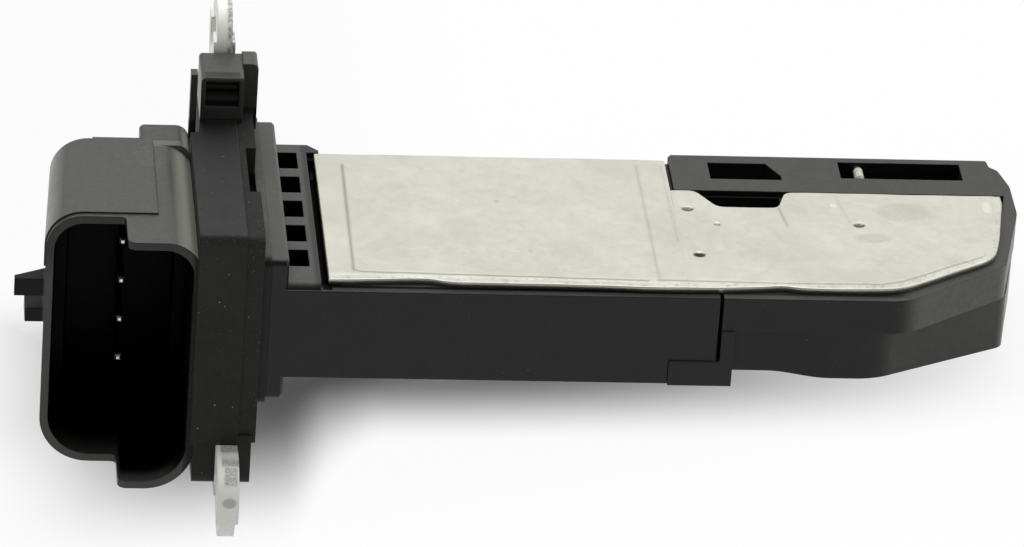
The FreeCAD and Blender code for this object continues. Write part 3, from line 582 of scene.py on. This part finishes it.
def body_plastic():
    """The body's finish, from its masks."""
    r, shader = recipe_for("body_plastic")
    s = Skin(r)
    ledge = wall_ledge_shade(r, s)
    inside = in_socket(r, s)
    duller = r.times(r.band(s.x, FLANGE_X, 0.05), r.ramp(s.z, *DULL_FROM_Z))
    duller = r.times(duller, r.ramp(s.z, *DULL_TO_Z, 1.0, 0.0))
    film = r.less(body_dust_and_light(r, s), r.times(ledge, r.ramp(s.y, *WALL_NEAR_Y)))
    # Painted shade: the socket's hollow is blended to near black.
    colour = r.blend(inside, r.blend(film, BODY_BLACK, DUST_AND_SHEEN), HOLLOW_SHADE)
    colour = r.blend(body_specks(r, s, duller), colour, SPECK)
    rough = r.math("MULTIPLY_ADD", duller, DULLER_BY, mottled(r, s, BODY_ROUGH))
    ribs = r.math("ADD", r.band(s.z, UPPER_RIB_Z, 0.25), r.band(s.z, LOWER_RIB_Z, 0.3))
    height = r.math("ADD", grain(r, s), r.times(ribs, lug_pocket(r, s), RIB_HEIGHT))
    # Painted shade on the catch, added to that on the wall top, in the socket and in the slit.
    catch = r.ramp(s.x, -21.8, -21.6, 0.45, 0.0)
    shade = r.most(r.times(ledge, r.ramp(s.y, *WALL_NEAR_Y, 0.0, 0.75)),
                   r.times(inside, 0.85), r.times(in_slit(r, s), 0.9), catch)
    cast_plastic(r, shader, colour, rough, height, BODY_GRAIN_MM, shade)


body_plastic()
print("body finish nodes", len(materials["body_plastic"].node_tree.nodes))

# %% [markdown]
# ## Cover plate's metal
# The plate is satin sheet, clouded by handling and with two grey smudges near the tip. Plain
# metal would mirror the studio and hide all of that, so its tone does most of the work and the
# roughness little. The creases, the rolled rim and the punched holes are shapes of the sheet.
# The mesh carries them as values on its points, and here they take their colours: painted shade
# in the creases, paler and darker patches on the rim, and in the holes the black pegs below with
# painted shade. Two painted glints lie near the tip.

# %% Cover plate's metal
PLATE_LOW, PLATE_HIGH = (0.57, 0.562, 0.49), (0.63, 0.622, 0.55)
PLATE_CREASE_SHADE, PLATE_RIM_PALE, PLATE_RAGGED = (0.22, 0.21, 0.19), (0.66, 0.66, 0.61), (0.30, 0.29, 0.27)
PLATE_DENT, PLATE_SMUDGE, PLATE_GLINT = (0.25, 0.24, 0.22), (0.45, 0.44, 0.38), (0.80, 0.80, 0.74)
HOLE_DARK = (0.02, 0.02, 0.02)
DENTS = [((32.1, -6.8), (0.3, 0.3)), ((29.2, 4.8), (0.4, 0.35))]
SMUDGES = [((74.9, 3.9), (3.9, 2.7)), ((70.8, -2.4), (2.6, 1.4))]
GLINTS = [((67.2, 5.2), (0.5, 0.6)), ((84.6, 5.4), (0.7, 1.5))]


def plate_metal():
    """Satin metal: a clouded tone, with the sheet's marks, painted shade and painted glints laid over it in
    turn.
    """
    r, shader = recipe_for("plate_metal")
    vector, x, y, z = r.place()
    cloud = r.noise(vector, 0.12, 4.0, 0.6, 2.0)
    fleck = r.noise(vector, 5.0, 2.0, 0.6, 4.0)
    smear = r.noise(vector, 0.9, 4.0, 0.7, 6.0)
    torn = r.noise(vector, 1.7, 4.0, 0.7, 9.0)
    rim = r.attribute("rim")
    smudge = r.times(r.most(*[r.spot(x, y, *one) for one in SMUDGES]), r.ramp(smear, 0.35, 0.65, 0.6, 1.0))
    tone = r.blend(r.ramp(cloud, 0.3, 0.7), PLATE_LOW, PLATE_HIGH)
    # Painted shade along the creases.
    tone = r.blend(r.times(r.attribute("pressed"), 0.7), tone, PLATE_CREASE_SHADE)
    # Paler patches along the rolled rim.
    tone = r.blend(r.times(rim, r.ramp(smear, 0.4, 0.6), 0.35), tone, PLATE_RIM_PALE)
    tone = r.blend(r.times(rim, r.ramp(torn, 0.52, 0.64), 0.5), tone, PLATE_RAGGED)
    tone = r.blend(r.times(r.most(*[r.spot(x, y, *one) for one in DENTS]), 0.3), tone, PLATE_DENT)
    tone = r.blend(r.times(smudge, 0.75), tone, PLATE_SMUDGE)
    # Painted highlights: two glints near the tip.
    tone = r.blend(r.times(r.most(*[r.spot(x, y, *one) for one in GLINTS]), 0.5), tone, PLATE_GLINT)
    # Dark in the holes: the black pegs below, with painted shade.
    tone = r.blend(r.attribute("hole"), tone, HOLE_DARK)
    r.wire(tone, shader.inputs["Base Color"])
    shader.inputs["Metallic"].default_value = 0.85
    satin = r.math("MULTIPLY_ADD", r.ramp(smear, 0.3, 0.7), 0.12, 0.33)
    r.wire(r.math("MULTIPLY_ADD", smudge, 0.15, satin), shader.inputs["Roughness"])
    relief(r, shader, r.math("ADD", r.times(fleck, 0.3), smear), 0.02)


plate_metal()
print("plate marks", len(DENTS) + len(SMUDGES) + len(GLINTS))

# %% [markdown]
# ## The ears' steel
# The ears are thick steel sheared from strip, so their edges show a bright cut and a dark torn
# part. That could be modelled as a rough edge, but it is less than a tenth of a millimetre deep,
# so it is colour and relief. Torn steel has no grain to follow, and even noise breaks it up.
# A dark streak down the upper ear's right side is painted shadow, in the torn part's colour.

# %% Ear steel
STEEL_LOW, STEEL_HIGH = (0.93, 0.93, 0.87), (0.99, 0.99, 0.94)
STEEL_TORN_AND_SHADOW = (0.16, 0.155, 0.14)
TORN_X, TORN_Z = (-1.6, -0.2), (-14.6, -13.2)
BITE_Z = (-13.25, -12.9)
PRESSED_AT, PRESSED_REACH = (-1.05, -16.35), (0.95, 0.7)


def ear_steel():
    """Pale steel: a bite, a torn part and a pressed spot on the lower ear, a painted shadow on the upper."""
    r, shader = recipe_for("ear_steel")
    vector, x, y, z = r.place()
    pits = r.noise(vector, 2.2, 5.0, 0.7, 1.0)
    tear = r.noise(vector, 4.5, 3.0, 0.6, 2.0)
    sheared = r.times(r.band(z, TORN_Z, 0.2), r.band(x, TORN_X, 0.2), r.ramp(tear, 0.35, 0.6, 0.25, 0.85))
    bitten = r.times(r.band(z, BITE_Z, 0.15), r.ramp(x, -2.0, -1.8), r.ramp(tear, 0.3, 0.6, 0.6, 1.0))
    pressed = r.times(r.spot(x, z, PRESSED_AT, PRESSED_REACH), 0.7)
    # Painted shadow down the upper ear's right side, broken up by the pits.
    upper_painted_shadow = r.times(r.ramp(pits, 0.4, 0.6), r.ramp(z, 14.0, 15.0), r.band(x, (-0.9, 0.3), 0.2))
    torn = r.most(sheared, bitten, pressed, upper_painted_shadow)
    tone = r.blend(r.ramp(pits, 0.3, 0.7), STEEL_LOW, STEEL_HIGH)
    r.wire(r.blend(r.times(torn, 0.7), tone, STEEL_TORN_AND_SHADOW), shader.inputs["Base Color"])
    shader.inputs["Metallic"].default_value = 0.05
    r.wire(r.ramp(pits, 0.3, 0.7, 0.34, 0.5), shader.inputs["Roughness"])
    relief(r, shader, r.math("ADD", r.times(pits, 0.4), torn), 0.04, edge_mm=0.3)


ear_steel()
print("finishes so far", len(materials))

# %% [markdown]
# ## Small finishes
# The inner pieces are pins, ribbons, a ceramic board, chips, strips and the thermistor's glass
# bead. Little of them is ever seen, so one short recipe serves them all, with an uneven colour
# and gloss that keep them from looking flat. The socket's pins have their own, because only their
# tips catch light and the rest stands in the dark.

# %% Small finishes
def plain_finish(slot, colour, rough, metal=0.0):
    """A small piece's finish: its colour and gloss drift by 15% of the colour and 0.1 of roughness."""
    r, shader = recipe_for(slot)
    vector, x, y, z = r.place()
    patch = r.ramp(r.noise(vector, 1.5, 3.0, 0.6, 7.0), 0.3, 0.7)
    low = tuple(c * 0.85 for c in colour)
    high = tuple(min(c * 1.15, 1.0) for c in colour)
    r.wire(r.blend(patch, low, high), shader.inputs["Base Color"])
    r.wire(r.math("MULTIPLY_ADD", patch, 0.1, rough - 0.05), shader.inputs["Roughness"])
    shader.inputs["Metallic"].default_value = metal
    relief(r, shader, patch, 0.01)


plain_finish("sealant", (0.008, 0.008, 0.008), 0.5)
plain_finish("pad_grey", (0.3, 0.31, 0.32), 0.7)
plain_finish("board", (0.75, 0.74, 0.70), 0.6)
plain_finish("chip_black", (0.02, 0.02, 0.02), 0.45)
plain_finish("capacitor_ceramic", (0.35, 0.24, 0.15), 0.5)
plain_finish("sensing_element", (0.10, 0.12, 0.2), 0.2)
plain_finish("ribbon_aluminium", (0.8, 0.8, 0.8), 0.35, 1.0)
plain_finish("strip_brass", (0.42, 0.34, 0.16), 0.35, 0.9)
plain_finish("lead_wire", (0.62, 0.6, 0.5), 0.3, 0.9)
plain_finish("bead_glass", (0.52, 0.51, 0.42), 0.15)

PIN_BRIGHT, PIN_IN_SHADE = (0.70, 0.69, 0.62), (0.05, 0.05, 0.045)
PIN_TIP_Y = (-4.4, -3.4)


def terminal_metal():
    """Tinned pins: bright at their tips, with painted shade further in."""
    r, shader = recipe_for("terminal_metal")
    vector, x, y, z = r.place()
    r.wire(r.blend(r.ramp(y, *PIN_TIP_Y), PIN_BRIGHT, PIN_IN_SHADE), shader.inputs["Base Color"])
    shader.inputs["Metallic"].default_value = 0.9
    shader.inputs["Roughness"].default_value = 0.32
    relief(r, shader, r.noise(vector, 3.0), 0.01, edge_mm=0.08)


terminal_metal()
print("finishes so far", len(materials))

# %% [markdown]
# ## Finishes onto the pieces
# The record names a slot for each node, and each slot now has its finish. A node comes with a
# plain material of its own, so that is cleared first and the slot's finish takes its place.

# %% Finishes onto the pieces
for part in frame["record"]["subparts"]:
    mesh = nodes[part["node"]].data
    mesh.materials.clear()
    mesh.materials.append(materials[part["material_slot"]])

# %% [markdown]
# ## Cover plate's outline
# The plate is thin sheet over the circuit chamber, and could be blanked and pressed in one hit.
# Its straight end faces the row of pockets, its far side is the blade's and then the rail's, with
# a notch beside the rail's first window. The real near edge is cut unevenly, so it wanders here
# too. Each line is a few corners, and short parabolas round them, which need no radius to fit.

# %% Cover plate's outline
plate_low, plate_high = (np.array(corner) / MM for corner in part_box("cover_plate"))
STEP_X, RAIL_Y, NOTCH_Y = 49.05, 8.2, 4.4
NEAR_ROUND, NOTCH_ROUND = 2.5, 0.9
near_corners = np.array([(9.5, -14.25), (11.7, -14.25), (15.0, -13.95), (17.5, -13.75), (20.5, -13.7),
                         (22.3, -14.25), (24.0, -14.4), (39.0, -14.5), (45.8, -14.8), (55.0, -14.5),
                         (59.5, -13.9), (61.5, -14.4), (67.0, -14.5), (72.6, -14.2), (84.0, -6.5),
                         (85.0, -2.6), (86.45, 6.4)])
notch_corners = np.array([(STEP_X, RAIL_Y), (51.8, RAIL_Y), (54.0, NOTCH_Y), (60.9, NOTCH_Y), (62.0, RAIL_Y),
                          (90.0, RAIL_Y)])


def rounded_path(corners, reach):
    """Each inner corner c becomes (1-t)^2 a + 2t(1-t) c + t^2 b, with a and b a reach before and after."""
    path = [corners[:1]]
    t = np.linspace(0, 1, 7)[:, None]
    for before, corner, after in zip(corners[:-2], corners[1:-1], corners[2:]):
        runs = np.linalg.norm(before - corner), np.linalg.norm(after - corner)
        cut = min(reach, 0.45 * runs[0], 0.45 * runs[1])
        back = corner + (before - corner) / runs[0] * cut
        on = corner + (after - corner) / runs[1] * cut
        path.append((1 - t) ** 2 * back + 2 * t * (1 - t) * corner + t ** 2 * on)
    return np.concatenate(path + [corners[-1:]])


near_cut = rounded_path(near_corners, NEAR_ROUND)
notch = rounded_path(notch_corners, NOTCH_ROUND)


def near_edge(x):
    """Where the plate's near edge lies across the blade."""
    return np.interp(x, near_cut[:, 0], near_cut[:, 1])


def far_edge(x):
    """Where its far edge lies: the blade's far side, then the rail, with the notch."""
    return np.where(x < STEP_X, plate_high[1], np.interp(x, notch[:, 0], notch[:, 1]))


print("near edge wanders", round(float(np.ptp(near_edge(np.linspace(12, 70, 50)))), 2), "mm")

# %% [markdown]
# ## Cover plate's surface
# Rolled edges, creases and punched holes could each be cut into the mesh. As a height over the
# plan they are one sum instead: the sheet's level, less a quarter circle at the edge, less a
# narrow dip along each crease, less a bowl at each hole. The plan's columns crowd at the notch's
# corners and at the holes, and its rows at both edges, where the height changes fastest.

# %% Cover plate's surface
SHEET_LEVEL = 0.03
ROLL = 0.17
CREASE_WIDTH, CREASE_DEPTH = 0.17, 0.035
RIM_WIDTH, RIM_FADE, RIM_DROP = 1.45, 0.6, 0.05
HOLE_DEPTH = 0.3
RAIL_COVERS = 0.2
ROW_CROWDING = 0.13
trued_near = np.array([(9.5, -14.2), (45.8, -14.7), (72.6, -14.2), (84.0, -6.5), (85.0, -2.6), (86.45, 6.4)])
panel_line = [(12.4, 13.0), (12.2, -11.9), (12.9, -12.3), (28.0, -12.75), (44.6, -13.2)]
nose_line = [(45.8, -13.1), (60.0, -13.3), (70.5, -13.2), (73.2, -12.3), (82.6, -6.3)]
nose_end = [(84.7, 0.5), (85.0, 4.0)]
creases = [(1.0, panel_line), (0.9, nose_line), (0.4, [(45.7, 14.2), (45.9, -13.0)]),
           (0.3, [(48.5, 14.0), (48.8, -4.0)]), (0.7, [(60.9, NOTCH_Y), (61.5, 0.2)]),
           (0.3, [(67.6, 7.6), (68.6, 1.5)])]
holes = [(50.6, 3.9, 0.66, 0.50, 0.8), (50.9, -7.0, 0.68, 0.52, 1.0), (69.6, 0.65, 0.66, 0.46, 0.9),
         (53.6, 0.3, 0.36, 0.34, 0.5)]


def path_gap(x, y, path):
    """Distance from each point to the nearest part of an open path of straight runs."""
    gap = np.full(x.shape, 99.0)
    for (x0, y0), (x1, y1) in zip(path[:-1], path[1:]):
        dx, dy = x1 - x0, y1 - y0
        along = np.clip(((x - x0) * dx + (y - y0) * dy) / (dx * dx + dy * dy), 0, 1)
        gap = np.minimum(gap, np.hypot(x - x0 - along * dx, y - y0 - along * dy))
    return gap


def plate_plan(columns, rows):
    """The plan: y runs from the near edge to the far one, by t - 0.13 sin 2 pi t, on columns of even x."""
    at_holes = np.concatenate([np.linspace(hole[0] - 0.9, hole[0] + 0.9, 15) for hole in holes])
    x = np.unique(np.concatenate([np.linspace(plate_low[0], plate_high[0], columns), near_cut[1:-1, 0],
                                  [STEP_X - 0.01, STEP_X], notch[1:-1, 0], at_holes,
                                  plate_low[0] + np.array([0.03, 0.1, 0.2, 0.35])]))
    t = np.linspace(0, 1, rows)
    t = t - ROW_CROWDING * np.sin(2 * np.pi * t)
    x, t = np.meshgrid(x, t, indexing="ij")
    near, far = near_edge(x), far_edge(x)
    return x, near + (far - near) * t


def plate_surface(x, y):
    """z = level - roll - crease - rim - bowl + waves.

    The roll is a quarter circle, ROLL * (1 - sqrt(1 - u^2)), where u rises from 0 to 0.97 at the edge.
    A crease is depth * e^-(gap / width)^2, and a bowl falls straight from its rim to its middle.
    """
    slope = (near_edge(x + 0.05) - near_edge(x - 0.05)) / 0.1
    edge = np.minimum((y - near_edge(x)) / np.hypot(1, slope), x - plate_low[0])
    edge = np.minimum(edge, far_edge(x) - y + RAIL_COVERS * (x > STEP_X))
    inward = np.clip(1 - edge / ROLL, 0, 1)
    drop = ROLL * (1 - np.sqrt(1 - (0.97 * inward) ** 2))

    pressed = np.zeros(x.shape)
    for depth, path in creases:
        pressed = np.maximum(pressed, depth * np.exp(-(path_gap(x, y, path) / CREASE_WIDTH) ** 2))
    outside = np.clip((path_gap(x, y, nose_line + nose_end) - 0.1) / 1.2, 0, 1)
    fold = y - np.interp(x, trued_near[:, 0], trued_near[:, 1])
    rim = np.clip((RIM_WIDTH - fold / np.hypot(1, slope)) / RIM_FADE, 0, 1)
    drop = drop + CREASE_DEPTH * pressed + RIM_DROP * rim * outside

    hole = np.zeros(x.shape)
    for middle_x, middle_y, reach_x, reach_y, dark in holes:
        out = np.hypot((x - middle_x) / reach_x, (y - middle_y) / reach_y)
        drop = drop + HOLE_DEPTH * np.clip(1.1 - out, 0, 1)
        hole = np.maximum(hole, dark * np.clip((1.2 - out) / 0.35, 0, 1))
    waves = 0.018 * np.sin(x * 0.33 + 1.0) * np.sin(y * 0.5) + 0.012 * np.sin(x * 0.9 + y * 0.7)
    z = np.clip(plate_high[2] - SHEET_LEVEL - drop + waves, plate_low[2] + 0.02, plate_high[2])
    return z, {"pressed": pressed, "rim": rim * (1 - inward), "hole": hole}


plan_x, plan_y = plate_plan(400, 150)
plate_z, marks = plate_surface(plan_x, plan_y)
print("plate grid", plan_x.shape, "deepest mark", round(float(plate_high[2] - plate_z.min()), 2), "mm")

# %% [markdown]
# ## Cover plate's mesh
# A surface alone has no thickness and its edge would show as a paper cut. So a wall goes down
# from the grid's outline to the solid's lower face, and one large face closes it there. The
# marks ride along as values on the points, for the metal's recipe.

# %% Cover plate's mesh
def grid_faces(columns, rows):
    """Quads of a grid whose points run row by row within each column."""
    i, j = np.meshgrid(np.arange(columns - 1), np.arange(rows - 1), indexing="ij")
    a = (i * rows + j).ravel()
    return np.stack([a, a + rows, a + rows + 1, a + 1], axis=1)


def grid_outline(columns, rows):
    """The grid's edge points in order, once round."""
    last = (columns - 1) * rows
    return np.concatenate([np.arange(rows - 1, 0, -1), np.arange(columns - 1) * rows,
                           last + np.arange(rows - 1), np.arange(columns - 1, 0, -1) * rows + rows - 1])


def closed_sheet(x, y, z, bottom):
    """The grid, a wall from its outline down to a level, and a base: points, and faces as lists."""
    points = np.stack([x.ravel(), y.ravel(), z.ravel()], axis=1)
    outline = grid_outline(*x.shape)
    foot = points[outline].copy()
    foot[:, 2] = bottom
    under = len(points) + np.arange(len(outline))
    walls = np.stack([outline, under, np.roll(under, -1), np.roll(outline, -1)], axis=1)
    faces = grid_faces(*x.shape).tolist() + walls.tolist() + [under[::-1].tolist()]
    return np.concatenate([points, foot]), faces


points, faces = closed_sheet(plan_x, plan_y, plate_z, plate_low[2])
sheet_mesh = bpy.data.meshes.new("cover_sheet")
sheet_mesh.from_pydata((points * MM).tolist(), [], faces)
for mark, values in marks.items():
    on_points = np.concatenate([values.ravel(), np.zeros(len(points) - values.size)]).astype(np.float32)
    sheet_mesh.attributes.new(mark, "FLOAT", "POINT").data.foreach_set("value", on_points)
sheet_mesh.shade_smooth()
sheet_mesh.materials.append(materials["plate_metal"])
cover_sheet = bpy.data.objects.new("cover_sheet", sheet_mesh)
bpy.context.scene.collection.objects.link(cover_sheet)
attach(cover_sheet, "root")
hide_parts("cover_plate")
print("cover_sheet", len(points), "points", len(faces), "faces")

# %% [markdown]
# ## Finish

# %% Finish
import json
